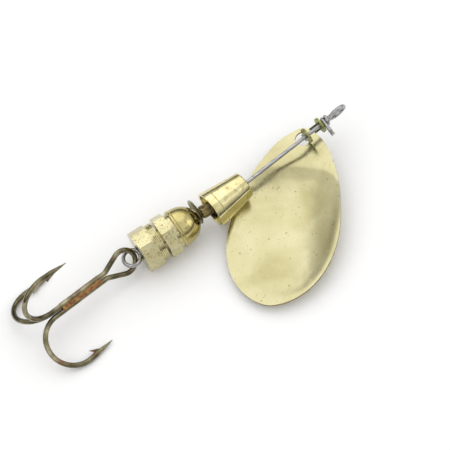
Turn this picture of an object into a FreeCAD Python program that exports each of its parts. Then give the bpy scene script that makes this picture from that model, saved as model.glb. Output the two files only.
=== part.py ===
"""Inline spinner (fishing lure), lying at rest on a table, in millimetres.

The frame: origin at the centre of the front line eye, +X forward towards the line, +Z up.
The lure is first laid out along a straight rear shaft axis and then tipped nose up,
because the blade props up its front end while the rear collar lies on the table.
"""
import FreeCAD, Part
import math
import os

Vec = FreeCAD.Vector

# ---- Driving dimensions -------------------------------------------------------------
NOSE_UP = 4.0              # tilt of the rear shaft axis when the lure lies down, degrees

WIRE_R = 0.40              # shaft wire radius
BORE_R = 0.48              # bore of every bead on the wire
EYE_R = 1.75               # centreline radius of the line eye
EYE_NECK = 3.0             # eye centre to the point where the eye closes
NECK_OVERLAP = 0.1         # the shaft starts this far inside that point
EYE_ROLL = 74.0            # plane of the eye, from -Y towards +Z, degrees
TAG_ROLL = -30.0           # direction of the tag end behind the eye
TAG_LEN = 3.2
FRONT_RUN = 26.0           # eye centre to the bend of the shaft
SHAFT_BEND = 5.8           # bend of the shaft, hidden inside the bell, degrees
BEND_R = 6.0               # radius of that bend
LOOP_R = 1.75              # centreline radius of the rear hook loop
LOOP_ROLL = -6.0           # plane of the rear loop, from -Y towards +Z, degrees
LOOP_SPARE = 0.05          # rear collar's face to the centreline of the loop
TAIL_LEN = 0.85            # peg of wire beside the shaft where the loop closes
TAIL_OFFSET = 0.68
TAIL_BACK = 0.25
WRAP_BITE = 0.04           # how far the wraps sink into the shaft so that they join it
WRAP_PITCH = 0.82          # spacing of the wraps along the shaft
WRAP_TURNS = 1.5
WRAP_START = 2.4           # eye centre to the start of the wraps

CLEVIS_AT = 6.2            # eye centre to the middle of the clevis
CLEVIS_ROLL = 30.0         # clevis turned from straight down towards +Y, degrees
EAR_R = 1.7                # clevis ear radius
EAR_GAP = 3.1              # space between the ears
STRAP_T = 0.45             # clevis strap thickness
STRAP_W = 1.6              # width of the narrow part of the strap
CLEVIS_REACH = 2.8         # shaft axis to the centre of the U bend

BLADE_T = 0.45             # blade thickness
BLADE_HOLE_R = 1.65
BLADE_HOLE = (-8.45, 0.62, -2.57)   # hole centre, before the lure is tipped
BLADE_YAW = 226.0          # direction of the blade's long axis from the hole, degrees
BLADE_FALL = 1.7           # slope of the blade down towards its far end, degrees
BLADE_LEAN = 3.1           # slope of the blade up away from the bell, degrees
DISH_DEPTH = 2.3
DISH_MID = 19.6            # hole centre to the middle of the dish
DISH_FRONT = 13.8          # half length of the dish on the hole side
DISH_REAR = 17.4           # half length of the dish on the far side
DISH_HALF_WIDTH = 10.9
DISH_FRONT_SQUARE = 3.0    # 2 is an ellipse; higher fills out towards a rectangle
DISH_REAR_SQUARE = 2.3
DISH_POWER = 2.1           # 2 is a bowl; higher is flatter in the middle and steeper at the crease
SHEET_STEPS = (60, 38)     # grid of the blade's surface, along and across
SHEET_MARGIN = 1.5         # the sheet is made this much longer than the blade at each end
SHEET_HALF_WIDTH = 13.0
SHEET_FIT = 0.02           # how closely the surface follows the grid
TRIM_SPARE = 3.0           # how far the trimming prism and the drill run past the sheet

BELL_START = 24.1          # eye centre to the front face of the bell
BELL_LEN = 8.9
BELL_FRONT_R = 2.8
BELL_REAR_R = 4.1
BELL_WALL = 0.55
BELL_FRONT_WALL = 1.1
BELL_ROUND = 0.45          # rounding of the front edge
BELL_ROUND_STEP = 15       # degrees between the corners of that rounding
LIP_BACK = 1.6             # rear rim of the bell to its decorative groove
GROOVE_W = 0.2
GROOVE_DEEP = 0.12

GEAR_R = 1.4
GEAR_TEETH = 12
GEAR_TOOTH_DEEP = 0.2
GEAR_TOOTH_OUT = 0.02       # the groove's centre lies this far outside the gear
GEAR_CHAMFER = 0.32
GEAR_START = 6.3           # bend to the front of the gear, inside the bell's mouth
GEAR_LEN = 2.7
WASHER_R = 2.8
WASHER_BORE_R = 1.4        # a loose fit on the wire
WASHER_SHIFT = 0.95        # how far the washer hangs off centre towards +Y
WASHER_T = 0.28
WASHER_FLAT_R = 2.1        # where the curl of the rim begins
WASHER_CURL = 0.5          # how far the rim curls back
WASHER_CURL_MID = 0.35     # share of the curl reached halfway out
WASHER_CURL_IN = 0.25      # rim to that halfway point, measured inwards
WASHER_EDGE_RATIO = 0.7    # thickness of the rim's edge over that of the washer
WASHER_INNER_EASE = 0.1    # how much earlier the curl begins on the inside
DOME_START = 9.65          # bend to the tip of the dome
DOME_LEN = 5.5
DOME_R = 4.2
DOME_LIP = 0.35
DOME_TIP_FLAT = 0.9        # radius of the flat on the tip
DOME_SHOULDER = 0.12       # how far the lip stands out from the nose
DOME_STRAIGHT = 0.3        # straight run between the round nose and the lip
DOME_STEPS = 12            # facets along the round nose
SPACER_R = 3.75
SPACER_LEN = 0.8
COLLAR_FLAT = 4.2          # axis to a flat of the eight-sided collars
COLLAR_SIDES = 8
COLLAR_TURN = 22.5         # turns a flat down onto the table, degrees
COLLAR_CHAMFER_R = 4.42    # radius that the corners are turned down to at the end faces
FRONT_COLLAR_LEN = 2.45
HUB_R = 2.4                # hub on the rear face of the front collar
HUB_LEN = 0.42
REAR_SPACER_R = 4.05
REAR_SPACER_LEN = 1.4
SPACER_GROOVES = 4
SPACER_GROOVE_DEEP = 0.08
SPACER_GROOVE_HALF = 0.05
REAR_COLLAR_LEN = 3.4
COLLAR_EASE_RATIO = 1.6    # length of the corner easing over its depth
ENVELOPE_SPARE = 0.01      # the turning envelope just clears the corners between the easings
COUNTERBORE_R = 1.75
COUNTERBORE_DEEP = 0.9
BEAD_GAP = 0.02            # play between neighbouring beads

HOOK_WIRE_R = 0.54
SHANK_OFFSET = 0.70        # treble axis to each shank centreline
SHANK_LEN = 12.8           # crotch to the start of the round bend
BEND_HOOK_R = 5.44         # centreline radius of the round bend
POINT_RUN = 2.1            # straight wire after the bend, before the taper
POINT_TAPER = 3.6
POINT_TIP_R = 0.07
POINT_TURN_IN = 4.1        # the point turns in towards the shank, degrees
BARB_LEN = 2.3
BARB_RISE = 0.95
BARB_T = 0.5
BARB_ROOT = 0.9            # start of the taper to the barb's root
BARB_HEEL = 0.6            # start of the taper back to the barb's heel
BARB_ROOT_IN = 0.45        # root and heel lie inside the wire, as shares of its radius
BARB_HEEL_IN = 0.6
TREBLE_EYE_R = 2.45        # centreline radius of the treble eye
TREBLE_EYE_MID = 5.0       # crotch to the centre of the eye
TREBLE_FILLET_R = 1.5      # radius where the eye runs into the shanks
TREBLE_YAW = 8.0           # treble direction in the table plane, degrees
TREBLE_RISE = 1.7          # treble rises to the rear, degrees
TREBLE_SLACK = (0.55, 0.45, 0.15)   # loop centre to the far wire of the treble eye
HOOK_ANGLES = (95.7, -24.7, 204.1)   # direction of each hook, from -Y towards +Z
BRAZE_R = 1.03
BRAZE_START = 1.2
BRAZE_LEN = 9.6
BRAZE_PLAY = 0.005         # between the braze and the wires
SHANK_OVERLAP = 0.8        # crotch to where the third hook's shank begins

ORIGIN = Vec(0, 0, 0)
X_AXIS = Vec(1, 0, 0)
Y_AXIS = Vec(0, 1, 0)
Z_AXIS = Vec(0, 0, 1)


# ---- Helpers --------------------------------------------------------------------------
def circle_at(centre, direction, radius):
    return Part.Wire([Part.makeCircle(radius, centre, direction)])


def sweep(edges, radius):
    """Round wire of one radius along edges that join tangentially."""
    path = Part.Wire(edges)
    first = edges[0]
    start = first.valueAt(first.FirstParameter)
    heading = first.tangentAt(first.FirstParameter)
    return path.makePipeShell([circle_at(start, heading, radius)], True, True)


def arc(a, middle, b):
    return Part.Arc(a, middle, b).toShape()


def line(a, b):
    return Part.LineSegment(a, b).toShape()


def turned(profile):
    """Solid of revolution about X from (x, radius) corners."""
    corners = [Vec(x, 0, r) for x, r in profile]
    face = Part.Face(Part.makePolygon(corners + corners[:1]))
    return face.revolve(ORIGIN, X_AXIS, 360)


def tube(x_front, length, outer, inner=BORE_R):
    """Ring round the X axis that runs back from x_front."""
    x_end = x_front - length
    return turned([(x_front, inner), (x_front, outer), (x_end, outer), (x_end, inner)])


def around_x(angle):
    """Unit vector at an angle from -Y towards +Z, seen along the shaft."""
    return Vec(0, -math.cos(math.radians(angle)), math.sin(math.radians(angle)))


def front_place():
    """Places a shape built along X so that it lies on the bent front run of the shaft."""
    return FreeCAD.Placement(ORIGIN, FreeCAD.Rotation(Z_AXIS, SHAFT_BEND))


def rear_place():
    """Places a shape built along X, with its zero at the bend, on the rear run of the shaft."""
    bend = front_place().multVec(Vec(-FRONT_RUN, 0, 0))
    return FreeCAD.Placement(bend, FreeCAD.Rotation())


def upright_to(angle):
    """Rotation about the shaft that turns the vertical plane to an angle from -Y towards +Z."""
    return FreeCAD.Rotation(X_AXIS, 90 - angle)


def tipped(shape):
    out = shape.copy()
    out.Placement = FreeCAD.Placement(ORIGIN, FreeCAD.Rotation(Y_AXIS, -NOSE_UP)).multiply(out.Placement)
    return out


def placed(shape, placement):
    out = shape.copy()
    out.Placement = placement.multiply(out.Placement)
    return out


# ---- Stations: the bell from the eye centre, all others back from the bend ------------------
BELL_END = BELL_START + BELL_LEN
GEAR_END = GEAR_START + GEAR_LEN
WASHER_FACE = (GEAR_END + DOME_START - WASHER_T) / 2
SPACER_START = DOME_START + DOME_LEN + BEAD_GAP
FRONT_COLLAR_START = SPACER_START + SPACER_LEN + BEAD_GAP
REAR_SPACER_START = FRONT_COLLAR_START + FRONT_COLLAR_LEN + HUB_LEN + BEAD_GAP
REAR_COLLAR_START = REAR_SPACER_START + REAR_SPACER_LEN + BEAD_GAP
BODY_END = REAR_COLLAR_START + REAR_COLLAR_LEN
LOOP_MID = BODY_END + LOOP_R + LOOP_SPARE
LOOP_START = LOOP_MID - LOOP_R


# ---- Shaft wire -----------------------------------------------------------------------
def line_eye():
    """Teardrop eye: most of a circle and two straight sides that close at the neck."""
    half = math.asin(EYE_R / EYE_NECK)
    touch_x = -EYE_R * math.sin(half)
    touch_y = EYE_R * math.cos(half)
    upper = Vec(touch_x, 0, touch_y)
    lower = Vec(touch_x, 0, -touch_y)
    neck = Vec(-EYE_NECK, 0, 0)
    ring = sweep([arc(upper, Vec(EYE_R, 0, 0), lower)], WIRE_R)
    parts = [ring]
    for touch in (upper, lower):
        run = neck - touch
        parts.append(Part.makeCylinder(WIRE_R, run.Length, touch, run))
    parts.append(Part.makeSphere(WIRE_R, neck))
    eye = parts[0].multiFuse(parts[1:])
    return placed(eye, FreeCAD.Placement(ORIGIN, upright_to(EYE_ROLL)))


def wraps():
    """Close turns of the wire round the shaft, behind the eye, and its short tag end."""
    coil_r = 2 * WIRE_R - WRAP_BITE
    helix = Part.makeHelix(WRAP_PITCH, WRAP_PITCH * WRAP_TURNS, coil_r, 0, True)
    helix = placed(helix, FreeCAD.Placement(Vec(-WRAP_START, 0, 0), FreeCAD.Rotation(Y_AXIS, -90)))
    last = helix.Edges[-1]
    end = last.valueAt(last.LastParameter)
    end_angle = math.degrees(math.atan2(end.z, -end.y))
    turn = FreeCAD.Rotation(X_AXIS, end_angle - (TAG_ROLL + 90))
    coil = placed(sweep(helix.Edges, WIRE_R), FreeCAD.Placement(ORIGIN, turn))
    tag_start = Vec(end.x, 0, 0) + around_x(TAG_ROLL + 90) * coil_r
    knuckle = Part.makeSphere(WIRE_R, tag_start)
    tag = Part.makeCylinder(WIRE_R, TAG_LEN, tag_start, around_x(TAG_ROLL))
    return [coil, knuckle.fuse(tag)]


def shaft_run():
    """Front run, gentle bend, and rear run down to the hook loop."""
    front = Vec(math.cos(math.radians(SHAFT_BEND)), math.sin(math.radians(SHAFT_BEND)), 0)
    bend = front * -FRONT_RUN
    trim = BEND_R * math.tan(math.radians(SHAFT_BEND / 2))
    before = bend + front * trim
    after = bend - X_AXIS * trim
    half = (front + X_AXIS).normalize()
    inward = Vec(-half.y, half.x, 0)
    reach = BEND_R / math.cos(math.radians(SHAFT_BEND / 2)) - BEND_R
    middle = bend + inward * reach
    start = front * (NECK_OVERLAP - EYE_NECK)
    end = bend - X_AXIS * LOOP_START
    return sweep([line(start, before), arc(before, middle, after), line(after, end)], WIRE_R)


def hook_loop():
    """Closed rear loop, with its tail tucked back beside the shaft in the collar's counterbore."""
    centre = Vec(-LOOP_MID, 0, 0)
    ring = Part.makeTorus(LOOP_R, WIRE_R, centre, Y_AXIS)
    tail = Part.makeCylinder(WIRE_R, TAIL_LEN, Vec(-LOOP_START - TAIL_BACK, 0, TAIL_OFFSET), X_AXIS)
    return [placed(s, FreeCAD.Placement(ORIGIN, upright_to(LOOP_ROLL))) for s in (ring, tail)]


def shaft_wire():
    front = front_place()
    rear = rear_place()
    pieces = [placed(line_eye(), front)] + [placed(w, front) for w in wraps()]
    pieces += [placed(s, rear) for s in hook_loop()]
    whole = shaft_run()
    for piece in pieces:
        whole = whole.fuse(piece)
    return whole


# ---- Clevis and blade -------------------------------------------------------------------
def clevis():
    """Strap folded into a U, with a round drilled ear at each end."""
    inner = EAR_GAP / 2
    outer = inner + STRAP_T
    half = STRAP_W / 2
    legs = []
    for sign in (1, -1):
        x0 = sign * inner if sign > 0 else -outer
        ear = Part.makeCylinder(EAR_R, STRAP_T, Vec(x0, 0, 0), X_AXIS)
        leg = Part.makeBox(STRAP_T, STRAP_W, CLEVIS_REACH, Vec(x0, -half, -CLEVIS_REACH))
        hole = Part.makeCylinder(BORE_R, STRAP_T * 3, Vec(x0 - STRAP_T, 0, 0), X_AXIS)
        legs.append(ear.fuse(leg).cut(hole))
    bottom = Vec(0, -half, -CLEVIS_REACH)
    ring = Part.makeCylinder(outer, STRAP_W, bottom, Y_AXIS)
    ring = ring.cut(Part.makeCylinder(inner, STRAP_W * 3, bottom - Y_AXIS * STRAP_W, Y_AXIS))
    side = 4 * outer
    corner = Vec(-side / 2, -side / 2, -CLEVIS_REACH - side / 2)
    keep = Part.makeBox(side, side, side / 2, corner)
    shape = legs[0].multiFuse([legs[1], ring.common(keep)]).removeSplitter()
    turn = FreeCAD.Placement(Vec(-CLEVIS_AT, 0, 0), FreeCAD.Rotation(X_AXIS, CLEVIS_ROLL))
    return placed(placed(shape, turn), front_place())


# Half outline of the blade: distance from the hole along the blade, and half width.
BLADE_HALF = ((-1.6, 2.2), (0.0, 4.2), (4.0, 6.95), (8.0, 8.8), (14.0, 10.5), (20.5, 11.45),
              (26.5, 10.95), (31.5, 9.05), (35.0, 6.2), (37.1, 2.8))
BLADE_TOP = -2.45
BLADE_END = 37.75


def dish_height(u, v):
    """Depth of the dish: zero on the flat rim, steep just inside it, flat in the middle."""
    at_rear = u > DISH_MID
    half_length = DISH_REAR if at_rear else DISH_FRONT
    square = DISH_REAR_SQUARE if at_rear else DISH_FRONT_SQUARE
    along = abs(u - DISH_MID) / half_length
    across = abs(v) / DISH_HALF_WIDTH
    rho = (along ** square + across ** square) ** (1 / square)
    if rho >= 1:
        return 0.0
    return -DISH_DEPTH * (1 - rho ** DISH_POWER)


def blade_place():
    fall = math.tan(math.radians(BLADE_FALL))
    lean = math.tan(math.radians(BLADE_LEAN))
    yaw = math.radians(BLADE_YAW)
    along = Vec(math.cos(yaw), math.sin(yaw), 0)
    across = Vec(-along.y, along.x, 0)
    out = Vec(along.x, along.y, -fall).normalize()
    side = Vec(across.x, across.y, lean)
    up = out.cross(side).normalize()
    side = up.cross(out)
    matrix = FreeCAD.Matrix(out.x, side.x, up.x, BLADE_HOLE[0], out.y, side.y, up.y, BLADE_HOLE[1],
                            out.z, side.z, up.z, BLADE_HOLE[2], 0, 0, 0, 1)
    return FreeCAD.Placement(matrix)


def blade():
    """Dished sheet: a height field given its thickness, trimmed to the egg outline and drilled."""
    steps_u, steps_v = SHEET_STEPS
    u_start = BLADE_TOP - SHEET_MARGIN
    u_length = BLADE_END + SHEET_MARGIN - u_start
    grid = []
    for i in range(steps_u + 1):
        u = u_start + u_length * i / steps_u
        row = []
        for j in range(steps_v + 1):
            v = SHEET_HALF_WIDTH * (2 * j / steps_v - 1)
            row.append(Vec(u, v, dish_height(u, v)))
        grid.append(row)
    surface = Part.BSplineSurface()
    surface.approximate(Points=grid, DegMin=3, DegMax=5, Continuity=2, Tolerance=SHEET_FIT)
    sheet = surface.toShape().extrude(Vec(0, 0, -BLADE_T))
    points = [Vec(BLADE_TOP, 0, 0)] + [Vec(u, w, 0) for u, w in BLADE_HALF]
    points += [Vec(BLADE_END, 0, 0)] + [Vec(u, -w, 0) for u, w in reversed(BLADE_HALF)]
    rim = Part.BSplineCurve()
    rim.interpolate(Points=points, PeriodicFlag=True)
    outline = Part.Face(Part.Wire([rim.toShape()]))
    depth = DISH_DEPTH + TRIM_SPARE
    below = FreeCAD.Placement(Vec(0, 0, -depth), FreeCAD.Rotation())
    prism = placed(outline, below).extrude(Vec(0, 0, depth + 1))
    hole = Part.makeCylinder(BLADE_HOLE_R, TRIM_SPARE, Vec(0, 0, -TRIM_SPARE / 2), Z_AXIS)
    return placed(sheet.common(prism).cut(hole), blade_place())


# ---- Beads on the rear run ------------------------------------------------------------------
def bell():
    front, end = -BELL_START, -BELL_END
    slope = (BELL_REAR_R - BELL_FRONT_R) / BELL_LEN
    groove = end + LIP_BACK

    def radius(x):
        return BELL_FRONT_R + slope * (front - x)

    rounding = []
    for degrees in range(0, 91, BELL_ROUND_STEP):
        a = math.radians(degrees)
        rounding.append((front - BELL_ROUND * (1 - math.cos(a)),
                         radius(front) - BELL_ROUND * (1 - math.sin(a))))
    outside = rounding + [(groove + GROOVE_W, radius(groove + GROOVE_W)),
                          (groove + GROOVE_W / 2, radius(groove) - GROOVE_DEEP),
                          (groove, radius(groove)), (end, BELL_REAR_R)]
    throat = front - BELL_FRONT_WALL
    inside = [(end, BELL_REAR_R - BELL_WALL), (throat, radius(throat) - BELL_WALL),
              (throat, BORE_R), (front, BORE_R)]
    return turned(outside + inside)


def gear_bead():
    front, end = -GEAR_START, -GEAR_END
    blank = turned([(front, BORE_R), (front, GEAR_R - GEAR_CHAMFER), (front - GEAR_CHAMFER, GEAR_R),
                    (end + GEAR_CHAMFER, GEAR_R), (end, GEAR_R - GEAR_CHAMFER), (end, BORE_R)])
    cutters = []
    for i in range(GEAR_TEETH):
        way = around_x(360.0 * i / GEAR_TEETH)
        centre = way * (GEAR_R + GEAR_TOOTH_OUT) + Vec(end - 1, 0, 0)
        cutters.append(Part.makeCylinder(GEAR_TOOTH_DEEP, GEAR_LEN + 2, centre, X_AXIS))
    return blank.cut(Part.makeCompound(cutters))


def cup_washer():
    """Thin loose washer between gear and dome, with its rim curled back over the dome."""
    face = -WASHER_FACE
    middle = face - WASHER_CURL * WASHER_CURL_MID
    edge = face - WASHER_CURL
    edge_t = WASHER_T * WASHER_EDGE_RATIO
    outside = [(face, WASHER_FLAT_R), (middle, WASHER_R - WASHER_CURL_IN), (edge, WASHER_R)]
    inside = [(edge - edge_t, WASHER_R - edge_t), (middle - WASHER_T, WASHER_R - 2 * WASHER_CURL_IN),
              (face - WASHER_T, WASHER_FLAT_R - WASHER_INNER_EASE)]
    ring = turned([(face, WASHER_BORE_R)] + outside + inside + [(face - WASHER_T, WASHER_BORE_R)])
    return placed(ring, FreeCAD.Placement(Vec(0, WASHER_SHIFT, 0), FreeCAD.Rotation()))


def nose_dome():
    """Round nose, a short straight run and a thin lip at the base."""
    tip = -DOME_START
    base = tip - DOME_LEN
    nose_r = DOME_R - DOME_SHOULDER
    nose_len = DOME_LEN - 2 * DOME_LIP - DOME_STRAIGHT
    start = math.degrees(math.asin(DOME_TIP_FLAT / nose_r))
    curve = []
    for step in range(DOME_STEPS + 1):
        a = math.radians(start + (90 - start) * step / DOME_STEPS)
        curve.append((tip - nose_len * (1 - math.cos(a)), nose_r * math.sin(a)))
    curve[0] = (tip, DOME_TIP_FLAT)
    lip = [(base + 2 * DOME_LIP, nose_r), (base + 1.5 * DOME_LIP, DOME_R), (base + 0.5 * DOME_LIP, DOME_R),
           (base, nose_r), (base, BORE_R)]
    return turned([(tip, BORE_R)] + curve + lip)


def eight_sided(x_front, length):
    """Eight-sided bar with its end corners turned down, drilled for the wire."""
    corner_r = COLLAR_FLAT / math.cos(math.pi / COLLAR_SIDES)
    x_end = x_front - length
    corners = []
    for i in range(COLLAR_SIDES + 1):
        way = around_x(COLLAR_TURN + 360.0 * i / COLLAR_SIDES)
        corners.append(Vec(x_end, 0, 0) + way * corner_r)
    bar = Part.Face(Part.makePolygon(corners)).extrude(X_AXIS * length)
    ease = corner_r - COLLAR_CHAMFER_R
    ease_len = ease * COLLAR_EASE_RATIO
    full_r = corner_r + ENVELOPE_SPARE
    envelope = turned([(x_front, 0), (x_front, COLLAR_CHAMFER_R), (x_front - ease_len, full_r),
                       (x_end + ease_len, full_r), (x_end, COLLAR_CHAMFER_R), (x_end, 0)])
    bore = Part.makeCylinder(BORE_R, length + 2, Vec(x_end - 1, 0, 0), X_AXIS)
    return bar.common(envelope).cut(bore)


def front_collar():
    start = -FRONT_COLLAR_START
    hub = tube(start - FRONT_COLLAR_LEN, HUB_LEN, HUB_R)
    return eight_sided(start, FRONT_COLLAR_LEN).fuse(hub)


def rear_spacer():
    """Ring with fine turned grooves round it."""
    start = -REAR_SPACER_START
    step = REAR_SPACER_LEN / SPACER_GROOVES
    rim = []
    for i in range(SPACER_GROOVES):
        x = start - step * i
        rim += [(x - SPACER_GROOVE_HALF, REAR_SPACER_R), (x - step + SPACER_GROOVE_HALF, REAR_SPACER_R),
                (x - step, REAR_SPACER_R - SPACER_GROOVE_DEEP)]
    face = [(start, BORE_R), (start, REAR_SPACER_R - SPACER_GROOVE_HALF)]
    return turned(face + rim + [(start - REAR_SPACER_LEN, BORE_R)])


def rear_collar():
    collar = eight_sided(-REAR_COLLAR_START, REAR_COLLAR_LEN)
    pocket = Part.makeCylinder(COUNTERBORE_R, COUNTERBORE_DEEP + 1, Vec(-BODY_END - 1, 0, 0), X_AXIS)
    return collar.cut(pocket)


# ---- Treble hook -------------------------------------------------------------------------
def treble_place():
    """Treble frame: zero at the crotch, X forward along the shanks, before the lure is tipped."""
    yaw = FreeCAD.Rotation(Z_AXIS, TREBLE_YAW)
    pitch = FreeCAD.Rotation(Y_AXIS, NOSE_UP + TREBLE_RISE)
    turn = yaw.multiply(pitch)
    loop = rear_place().multVec(Vec(-LOOP_MID, 0, 0))
    eye_wire = turn.multVec(Vec(TREBLE_EYE_MID + TREBLE_EYE_R, 0, 0))
    return FreeCAD.Placement(loop + Vec(*TREBLE_SLACK) - eye_wire, turn)


def hook_point(angle):
    """Where a hook's straight wire, after the bend, ends and which way it points."""
    way = around_x(angle)
    turn_in = math.radians(POINT_TURN_IN)
    centre = Vec(-SHANK_LEN, 0, 0) + way * (SHANK_OFFSET + BEND_HOOK_R)
    leave = centre + (way * math.cos(turn_in) + X_AXIS * math.sin(turn_in)) * BEND_HOOK_R
    heading = X_AXIS * math.cos(turn_in) - way * math.sin(turn_in)
    return centre, leave, heading


def hook_edges(angle, shank_start):
    """Shank, round bend and straight run of one hook, in the plane at the given angle."""
    way = around_x(angle)
    centre, leave, heading = hook_point(angle)
    start = Vec(-shank_start, 0, 0) + way * SHANK_OFFSET
    bend_start = Vec(-SHANK_LEN, 0, 0) + way * SHANK_OFFSET
    back = centre - X_AXIS * BEND_HOOK_R
    return [line(start, bend_start), arc(bend_start, back, leave), line(leave, leave + heading * POINT_RUN)]


def point_and_barb(angle):
    """Tapered point and the barb cut up from its inner side."""
    way = around_x(angle)
    _, leave, heading = hook_point(angle)
    start = leave + heading * POINT_RUN
    inward = (way * -1 - heading * heading.dot(way * -1)).normalize()
    cone = Part.makeCone(HOOK_WIRE_R, POINT_TIP_R, POINT_TAPER, start, heading)
    root = start + heading * BARB_ROOT + inward * (HOOK_WIRE_R * BARB_ROOT_IN)
    tip = start - heading * (BARB_LEN - BARB_ROOT) + inward * (HOOK_WIRE_R + BARB_RISE)
    heel = start - heading * BARB_HEEL + inward * (HOOK_WIRE_R * BARB_HEEL_IN)
    side = heading.cross(inward)
    shift = side * (-BARB_T / 2)
    face = Part.Face(Part.makePolygon([p + shift for p in (root, tip, heel, root)]))
    return [cone, face.extrude(side * BARB_T)]


def eye_edges(first, second):
    """Treble eye between two shanks: fillet, straight, round end, straight, fillet."""
    way_a, way_b = around_x(first), around_x(second)
    middle = (way_a + way_b) * (SHANK_OFFSET / 2)
    across = (way_a - way_b).normalize()
    half = (way_a - way_b).Length * SHANK_OFFSET / 2
    fillet_mid = half + TREBLE_FILLET_R
    reach = math.hypot(TREBLE_EYE_MID, fillet_mid)
    slope = math.asin((TREBLE_EYE_R + TREBLE_FILLET_R) / reach) - math.atan2(fillet_mid, TREBLE_EYE_MID)
    c, s = math.cos(slope), math.sin(slope)

    def at(forward, lateral):
        return middle + X_AXIS * forward + across * lateral

    edges = []
    for sign in (1, -1):
        crotch = at(0, sign * half)
        leave = at(TREBLE_FILLET_R * s, sign * (fillet_mid - TREBLE_FILLET_R * c))
        bulge = at(TREBLE_FILLET_R * math.sin(slope / 2),
                   sign * (fillet_mid - TREBLE_FILLET_R * math.cos(slope / 2)))
        meet = at(TREBLE_EYE_MID - TREBLE_EYE_R * s, sign * TREBLE_EYE_R * c)
        run = [arc(crotch, bulge, leave), line(leave, meet)]
        edges.append((run, meet))
    (first_run, meet_a), (second_run, meet_b) = edges
    top = arc(meet_a, at(TREBLE_EYE_MID + TREBLE_EYE_R, 0), meet_b)
    return first_run, top, second_run


def treble_double_hook():
    """One wire: hook, shank, eye, shank, hook."""
    up, down = HOOK_ANGLES[0], HOOK_ANGLES[1]
    run_a, top, run_b = eye_edges(up, down)
    spine = list(reversed(hook_edges(up, 0))) + run_a + [top] + list(reversed(run_b)) + hook_edges(down, 0)
    ends = [leave + heading * POINT_RUN for _, leave, heading in (hook_point(up), hook_point(down))]
    headings = [hook_point(up)[2], hook_point(down)[2]]
    path = Part.Wire(Part.__sortEdges__(spine))
    body = path.makePipeShell([circle_at(ends[0], headings[0], HOOK_WIRE_R)], True, True)
    return body.multiFuse(point_and_barb(up) + point_and_barb(down))


def treble_single_hook():
    angle = HOOK_ANGLES[2]
    body = sweep(hook_edges(angle, SHANK_OVERLAP), HOOK_WIRE_R)
    return body.multiFuse(point_and_barb(angle))


def treble_braze():
    """Brazing metal: it fills the grooves between the shanks and the narrow core they share."""
    bar = Part.makeCylinder(BRAZE_R, BRAZE_LEN, Vec(-BRAZE_START - BRAZE_LEN, 0, 0), X_AXIS)
    for angle in HOOK_ANGLES:
        centre = Vec(-BRAZE_START - BRAZE_LEN - 1, 0, 0) + around_x(angle) * SHANK_OFFSET
        bar = bar.cut(Part.makeCylinder(HOOK_WIRE_R + BRAZE_PLAY, BRAZE_LEN + 2, centre, X_AXIS))
    return bar


# ---- Assembly ---------------------------------------------------------------------------------
def build():
    rear = rear_place()
    treble = treble_place()
    beads = {
        "gear_bead": gear_bead(),
        "cup_washer": cup_washer(),
        "nose_dome": nose_dome(),
        "front_spacer": tube(-SPACER_START, SPACER_LEN, SPACER_R),
        "front_collar": front_collar(),
        "rear_spacer": rear_spacer(),
        "rear_collar": rear_collar(),
    }
    hooks = {
        "treble_double_hook": treble_double_hook(),
        "treble_single_hook": treble_single_hook(),
        "treble_braze": treble_braze(),
    }
    nodes = {"shaft_wire": shaft_wire(), "clevis": clevis(), "blade": blade()}
    nodes["bell"] = placed(bell(), front_place())
    nodes.update({name: placed(shape, rear) for name, shape in beads.items()})
    nodes.update({name: placed(shape, treble) for name, shape in hooks.items()})
    os.makedirs("parts", exist_ok=True)
    for name, shape in nodes.items():
        final = tipped(shape)
        final.exportStep("parts/" + name + ".step")
        print(name, len(final.Solids), round(final.Volume, 2), final.isValid())


build()
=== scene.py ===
import math

import bpy
from mathutils import Matrix, Vector


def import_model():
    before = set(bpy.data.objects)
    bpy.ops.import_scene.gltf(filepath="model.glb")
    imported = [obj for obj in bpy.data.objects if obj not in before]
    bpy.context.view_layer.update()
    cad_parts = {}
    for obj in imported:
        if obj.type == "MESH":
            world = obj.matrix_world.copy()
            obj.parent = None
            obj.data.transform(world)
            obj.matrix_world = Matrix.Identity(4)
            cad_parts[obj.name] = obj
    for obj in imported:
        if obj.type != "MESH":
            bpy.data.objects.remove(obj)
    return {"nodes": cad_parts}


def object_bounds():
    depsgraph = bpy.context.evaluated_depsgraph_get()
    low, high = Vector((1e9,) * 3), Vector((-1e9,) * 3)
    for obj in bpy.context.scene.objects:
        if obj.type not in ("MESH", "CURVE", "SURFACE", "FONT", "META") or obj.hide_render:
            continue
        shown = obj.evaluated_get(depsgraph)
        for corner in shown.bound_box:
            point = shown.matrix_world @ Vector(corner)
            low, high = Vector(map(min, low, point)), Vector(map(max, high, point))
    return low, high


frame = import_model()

CAD_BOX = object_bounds()

MM = 0.001

# ---- Camera: seen from above and to the right of the lure's nose, turned clockwise about its view ----
CAMERA_TARGET = Vector((-32.26, -7.94, -2.26)) * MM
CAMERA_AZIMUTH = math.radians(-110.9)    # where the camera stands, seen from above, from +X
CAMERA_ELEVATION = math.radians(57.8)
CAMERA_ROLL = math.radians(-13.0)
CAMERA_DISTANCE = 0.55
CAMERA_LENS = 220.0
SENSOR_WIDTH = 36.0
CAMERA_CLIP = 0.01

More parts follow.
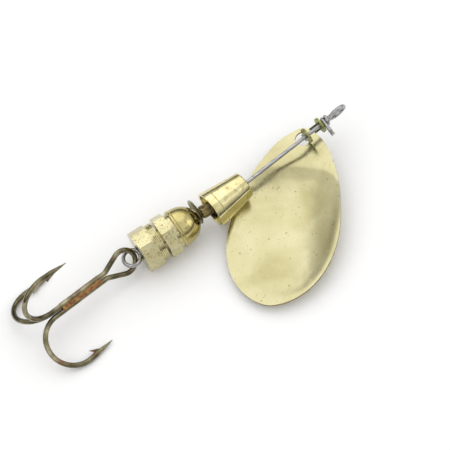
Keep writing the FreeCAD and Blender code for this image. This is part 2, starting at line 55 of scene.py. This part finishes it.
# ---- Light and floor ----
FLOOR_HALF = 12.0
FLOOR_COLOR = (0.98, 0.98, 0.98)
FLOOR_MOTTLE = 0.99   # the darker tone of the floor's faint grain, as a share of its colour
WORLD_STRENGTH = 0.97
WORLD_HIGH = (1.0, 1.0, 1.0)
WORLD_LOW = (0.06, 0.055, 0.045)
WORLD_RISE = (0.05, 0.55)   # heights on the unit sphere between which dark turns to bright
LIGHTS = (  # name, place from the lure's middle in metres, size in metres, power in watts, colour
    ("key", (0.15, 0.30, 0.55), 0.70, 0.9, (1.0, 0.99, 0.97)),
    ("fill", (-0.50, -0.15, 0.40), 0.55, 0.30, (0.97, 0.98, 1.0)),
    ("rim", (0.45, -0.25, 0.30), 0.30, 0.22, (1.0, 0.98, 0.95)),
)

# ---- Blade ----
BLADE_YAW = math.radians(226.0)   # where its long axis points, seen from above
EDGE_NORMAL = 0.5                 # its surface counts as its edge, where shade is painted, when the normal rises less than this
EDGE_BLEND = 0.1

# ---- Textures: scales are features to a millimetre, stretches are along X, Y and Z ----
LATHE_RINGS = (7.0, 0.12, 0.12)    # close together along X and unbroken round it
BRUSHED = (0.10, 3.5, 3.5)         # long scratches along the blade
DRAWN = (0.3, 5.0, 5.0)            # die marks along the wire
DRIFT_SCALE = 0.22
STAIN_SCALE = 2.6
PIT_SCALE = 2.2
TARNISH_COVER = 0.9
TARNISH_EDGE = 0.16                # noise value over which a patch of tarnish fades in
TARNISH_LIFT = 1.7                 # brighter tone of the tarnish over its darker one

# ---- Colours, from dark to light ----
BLADE_TONES = ((0.44, 0.40, 0.21), (0.52, 0.48, 0.27), (0.58, 0.54, 0.33))
# stain tones for the blade's dark specks, also laid on its thin edges as painted shade
BLADE_STAINS_AND_EDGE_SHADE = ((0.20, 0.15, 0.07), (0.38, 0.30, 0.15))
STEEL_TONES = ((0.22, 0.22, 0.23), (0.60, 0.60, 0.60))
STEEL_STAINS = ((0.14, 0.11, 0.08), (0.28, 0.22, 0.15))
BRONZE_TONES = ((0.08, 0.07, 0.04), (0.19, 0.17, 0.10), (0.40, 0.36, 0.24))
RUST_TONES = ((0.13, 0.04, 0.02), (0.32, 0.11, 0.05))
BRAZE_TONES = ((0.15, 0.06, 0.025), (0.35, 0.16, 0.06), (0.48, 0.31, 0.12))


# ---- Node helpers ----
MIX_A, MIX_B, MIX_RESULT = 6, 7, 2   # the colour sockets of a Mix node


class Shader:
    """A node material with one Principled shader and short calls to add what drives it."""

    def __init__(self, name, metallic=1.0):
        self.material = bpy.data.materials.new(name)
        self.material.use_nodes = True
        self.tree = self.material.node_tree
        self.bsdf = self.tree.nodes["Principled BSDF"]
        self.bsdf.inputs["Metallic"].default_value = metallic
        self.coords = self.tree.nodes.new("ShaderNodeTexCoord").outputs["Object"]

    def link(self, a, b):
        self.tree.links.new(a, b)

    def stretched(self, stretch=(1.0, 1.0, 1.0), turn=0.0):
        """Object coordinates in millimetres, turned about Z, then scaled along each axis."""
        turned = self.tree.nodes.new("ShaderNodeMapping")
        turned.inputs["Rotation"].default_value = (0.0, 0.0, turn)
        self.link(self.coords, turned.inputs["Vector"])
        scaled = self.tree.nodes.new("ShaderNodeMapping")
        scaled.inputs["Scale"].default_value = [s / MM for s in stretch]
        self.link(turned.outputs["Vector"], scaled.inputs["Vector"])
        return scaled.outputs["Vector"]

    def noise(self, scale, stretch=(1.0, 1.0, 1.0), turn=0.0, detail=4.0, distortion=0.0):
        """Noise with about `scale` features to a millimetre."""
        node = self.tree.nodes.new("ShaderNodeTexNoise")
        node.inputs["Scale"].default_value = scale
        node.inputs["Detail"].default_value = detail
        node.inputs["Distortion"].default_value = distortion
        self.link(self.stretched(stretch, turn), node.inputs["Vector"])
        return node.outputs["Fac"]

    def ramp(self, value, positions, colors):
        """Colour by value: each colour is reached at its position."""
        node = self.tree.nodes.new("ShaderNodeValToRGB")
        elements = node.color_ramp.elements
        while len(elements) < len(colors):
            elements.new(0.5)
        for element, position, color in zip(elements, positions, colors):
            element.position = position
            element.color = (*color, 1.0)
        self.link(value, node.inputs["Fac"])
        return node.outputs["Color"]

    def spread(self, value, low, high, from_low=0.3, from_high=0.7):
        """Noise value mapped onto a range."""
        node = self.tree.nodes.new("ShaderNodeMapRange")
        node.inputs["From Min"].default_value = from_low
        node.inputs["From Max"].default_value = from_high
        node.inputs["To Min"].default_value = low
        node.inputs["To Max"].default_value = high
        self.link(value, node.inputs["Value"])
        return node.outputs["Result"]

    def over(self, base, top, mask):
        """Colour `top` laid over colour `base` where the mask is 1."""
        node = self.tree.nodes.new("ShaderNodeMix")
        node.data_type = "RGBA"
        self.link(mask, node.inputs["Factor"])
        self.link(base, node.inputs[MIX_A])
        self.link(top, node.inputs[MIX_B])
        return node.outputs[MIX_RESULT]

    def facing_aside(self):
        """1 on the thin edges of a level plate and 0 on its two faces, from the object's own normal."""
        normal = self.tree.nodes.new("ShaderNodeTexCoord").outputs["Normal"]
        split = self.tree.nodes.new("ShaderNodeSeparateXYZ")
        self.link(normal, split.inputs["Vector"])
        up = self.tree.nodes.new("ShaderNodeMath")
        up.operation = "ABSOLUTE"
        self.link(split.outputs["Z"], up.inputs[0])
        return self.spread(up.outputs["Value"], 1.0, 0.0, EDGE_NORMAL, EDGE_NORMAL + EDGE_BLEND)

    def bump(self, height, depth_mm, under=None):
        """Relief of a depth in millimetres, laid over the relief `under` if there is one."""
        node = self.tree.nodes.new("ShaderNodeBump")
        node.inputs["Distance"].default_value = depth_mm * MM
        self.link(height, node.inputs["Height"])
        if under is not None:
            self.link(under, node.inputs["Normal"])
        return node.outputs["Normal"]

    def finish(self, color, roughness, normal=None):
        """Connect what drives the shader and give back the material."""
        self.link(color, self.bsdf.inputs["Base Color"])
        self.link(roughness, self.bsdf.inputs["Roughness"])
        if normal is not None:
            self.link(normal, self.bsdf.inputs["Normal"])
        return self.material


# ---- Materials ----
def brass(name, light, dark, tarnish, tarnish_from, rough, rings=0.0, pits=0.0, patch_scale=0.7):
    """Brass with drifting colour, tarnish in patches, lathe rings round X and small pits."""
    s = Shader(name)
    color = s.ramp(s.noise(DRIFT_SCALE, detail=3.0), (0.32, 0.62), (dark, light))
    patches = s.noise(patch_scale, detail=8.0, distortion=0.4)
    mask = s.spread(patches, 0.0, TARNISH_COVER, tarnish_from, tarnish_from + TARNISH_EDGE)
    tarnish_tones = (tarnish, [c * TARNISH_LIFT for c in tarnish])
    color = s.over(color, s.ramp(s.noise(STAIN_SCALE, detail=5.0), (0.35, 0.7), tarnish_tones), mask)
    roughness = s.spread(s.noise(1.7, detail=6.0), *rough)
    normal = None
    if rings:
        normal = s.bump(s.noise(1.0, stretch=LATHE_RINGS, detail=3.0), rings)
    if pits:
        normal = s.bump(s.noise(PIT_SCALE, detail=8.0), pits, normal)
    return s.finish(color, roughness, normal)


def blade_brass():
    """Pale worn plate: brushing lines along the blade, faint mottling, dark specks and painted shade
    along its thin edges.
    """
    s = Shader("blade_brass")
    color = s.ramp(s.noise(0.12, detail=4.0, distortion=0.4), (0.30, 0.50, 0.68), BLADE_TONES)
    specks = s.spread(s.noise(1.5, detail=2.0), 0.0, 0.65, 0.67, 0.73)
    stain = s.ramp(s.noise(2.0), (0.4, 0.7), BLADE_STAINS_AND_EDGE_SHADE)
    color = s.over(color, stain, specks)
    # painted shade: the blade's thin edges, which face aside, are darkened with the stain tones
    color = s.over(color, stain, s.facing_aside())
    lines = s.noise(1.0, stretch=BRUSHED, turn=-BLADE_YAW, detail=5.0)
    roughness = s.spread(lines, 0.16, 0.26)
    dents = s.bump(s.noise(0.16, detail=2.0), 0.10)
    return s.finish(color, roughness, s.bump(lines, 0.003, dents))


def wire_steel():
    """Drawn steel wire with lines along it and a few brown marks."""
    s = Shader("wire_steel")
    lines = s.noise(1.0, stretch=DRAWN, detail=4.0)
    color = s.ramp(lines, (0.35, 0.65), STEEL_TONES)
    stain = s.ramp(s.noise(2.0), (0.4, 0.7), STEEL_STAINS)
    color = s.over(color, stain, s.spread(s.noise(0.8, detail=6.0), 0.0, 0.7, 0.58, 0.68))
    return s.finish(color, s.spread(lines, 0.20, 0.38), s.bump(lines, 0.008))


def hook_bronze():
    """Bronzed hook wire, worn lighter in places, with reddish rust that is heaviest in patches."""
    s = Shader("hook_bronze")
    color = s.ramp(s.noise(0.35, detail=5.0), (0.34, 0.52, 0.68), BRONZE_TONES)
    rust = s.ramp(s.noise(3.0, detail=6.0), (0.35, 0.65), RUST_TONES)
    color = s.over(color, rust, s.spread(s.noise(0.45, detail=7.0), 0.0, 0.7, 0.60, 0.72))
    grain = s.noise(3.2, detail=8.0)
    return s.finish(color, s.spread(grain, 0.07, 0.18), s.bump(grain, 0.004))


def braze_rust():
    """Rough reddish brown brazing."""
    s = Shader("braze_rust", metallic=0.6)
    lumps = s.noise(1.4, detail=8.0)
    color = s.ramp(lumps, (0.34, 0.52, 0.66), BRAZE_TONES)
    return s.finish(color, s.spread(lumps, 0.45, 0.75), s.bump(lumps, 0.05))


def materials():
    """One finished material for each node."""
    collar = brass("collar_brass", light=(0.66, 0.61, 0.36), dark=(0.50, 0.44, 0.23),
                   tarnish=(0.17, 0.14, 0.06), tarnish_from=0.53, patch_scale=2.6,
                   rough=(0.14, 0.28), rings=0.006, pits=0.008)
    hook = hook_bronze()
    return {
        "shaft_wire": wire_steel(),
        "clevis": brass("clevis_brass", light=(0.42, 0.42, 0.17), dark=(0.22, 0.23, 0.08),
                        tarnish=(0.07, 0.07, 0.03), tarnish_from=0.50,
                        rough=(0.20, 0.38), pits=0.015),
        "blade": blade_brass(),
        "bell": brass("bell_brass", light=(0.78, 0.71, 0.40), dark=(0.55, 0.48, 0.22),
                      tarnish=(0.30, 0.24, 0.11), tarnish_from=0.57,
                      rough=(0.08, 0.18), rings=0.004, pits=0.002),
        "gear_bead": brass("gear_brass", light=(0.50, 0.42, 0.20), dark=(0.28, 0.22, 0.09),
                           tarnish=(0.07, 0.05, 0.03), tarnish_from=0.47,
                           rough=(0.25, 0.45), pits=0.015),
        "cup_washer": brass("washer_brass", light=(0.50, 0.47, 0.34), dark=(0.30, 0.27, 0.18),
                            tarnish=(0.09, 0.08, 0.06), tarnish_from=0.50,
                            rough=(0.25, 0.42), rings=0.006),
        "nose_dome": brass("dome_brass", light=(0.58, 0.50, 0.22), dark=(0.40, 0.33, 0.12),
                           tarnish=(0.18, 0.14, 0.06), tarnish_from=0.60,
                           rough=(0.12, 0.24), rings=0.004, pits=0.003),
        "front_spacer": collar,
        "front_collar": collar,
        "rear_spacer": collar,
        "rear_collar": collar,
        "treble_double_hook": hook,
        "treble_single_hook": hook,
        "treble_braze": braze_rust(),
    }


def dress_nodes():
    for node, material in materials().items():
        for slot in frame["nodes"][node].material_slots:
            slot.material = material


# ---- Stage ----
def floor():
    """Plain pale floor under the lowest point of the lure."""
    low = CAD_BOX[0].z
    corners = [(x * FLOOR_HALF, y * FLOOR_HALF, low) for x, y in ((-1, -1), (1, -1), (1, 1), (-1, 1))]
    mesh = bpy.data.meshes.new("floor")
    mesh.from_pydata(corners, [], [(0, 1, 2, 3)])
    made = bpy.data.objects.new("floor", mesh)
    bpy.context.scene.collection.objects.link(made)
    s = Shader("floor_paper", metallic=0.0)
    grain = s.noise(0.5, detail=6.0)
    color = s.ramp(grain, (0.3, 0.7), ([c * FLOOR_MOTTLE for c in FLOOR_COLOR], FLOOR_COLOR))
    mesh.materials.append(s.finish(color, s.spread(grain, 0.75, 0.85)))


def lights():
    middle = (CAD_BOX[0] + CAD_BOX[1]) / 2
    for name, offset, size, power, color in LIGHTS:
        light = bpy.data.lights.new(name, "AREA")
        light.size = size
        light.energy = power
        light.color = color
        made = bpy.data.objects.new(name, light)
        made.location = middle + Vector(offset)
        made.rotation_euler = Vector(offset).to_track_quat("Z", "Y").to_euler()
        bpy.context.scene.collection.objects.link(made)


def world():
    """Studio surroundings: bright overhead, darker towards the horizon, for the metal to reflect."""
    made = bpy.data.worlds.new("studio")
    made.use_nodes = True
    tree = made.node_tree
    background = tree.nodes["Background"]
    background.inputs["Strength"].default_value = WORLD_STRENGTH
    coords = tree.nodes.new("ShaderNodeTexCoord")
    split = tree.nodes.new("ShaderNodeSeparateXYZ")
    ramp = tree.nodes.new("ShaderNodeValToRGB")
    for element, height, color in zip(ramp.color_ramp.elements, WORLD_RISE, (WORLD_LOW, WORLD_HIGH)):
        element.position = height
        element.color = (*color, 1.0)
    tree.links.new(coords.outputs["Generated"], split.inputs["Vector"])
    tree.links.new(split.outputs["Z"], ramp.inputs["Fac"])
    tree.links.new(ramp.outputs["Color"], background.inputs["Color"])
    bpy.context.scene.world = made
    bpy.context.scene.view_settings.view_transform = "Standard"


def camera():
    data = bpy.data.cameras.new("camera")
    data.lens = CAMERA_LENS
    data.sensor_width = SENSOR_WIDTH
    data.clip_start = CAMERA_CLIP
    made = bpy.data.objects.new("camera", data)
    around = Matrix.Rotation(CAMERA_AZIMUTH + math.pi / 2, 4, "Z")
    tilt = Matrix.Rotation(math.pi / 2 - CAMERA_ELEVATION, 4, "X")
    turn = around @ tilt @ Matrix.Rotation(CAMERA_ROLL, 4, "Z")
    back = turn @ Vector((0.0, 0.0, CAMERA_DISTANCE))
    made.matrix_world = Matrix.Translation(CAMERA_TARGET + back) @ turn
    bpy.context.scene.collection.objects.link(made)
    bpy.context.scene.camera = made


dress_nodes()
floor()
lights()
world()
camera()
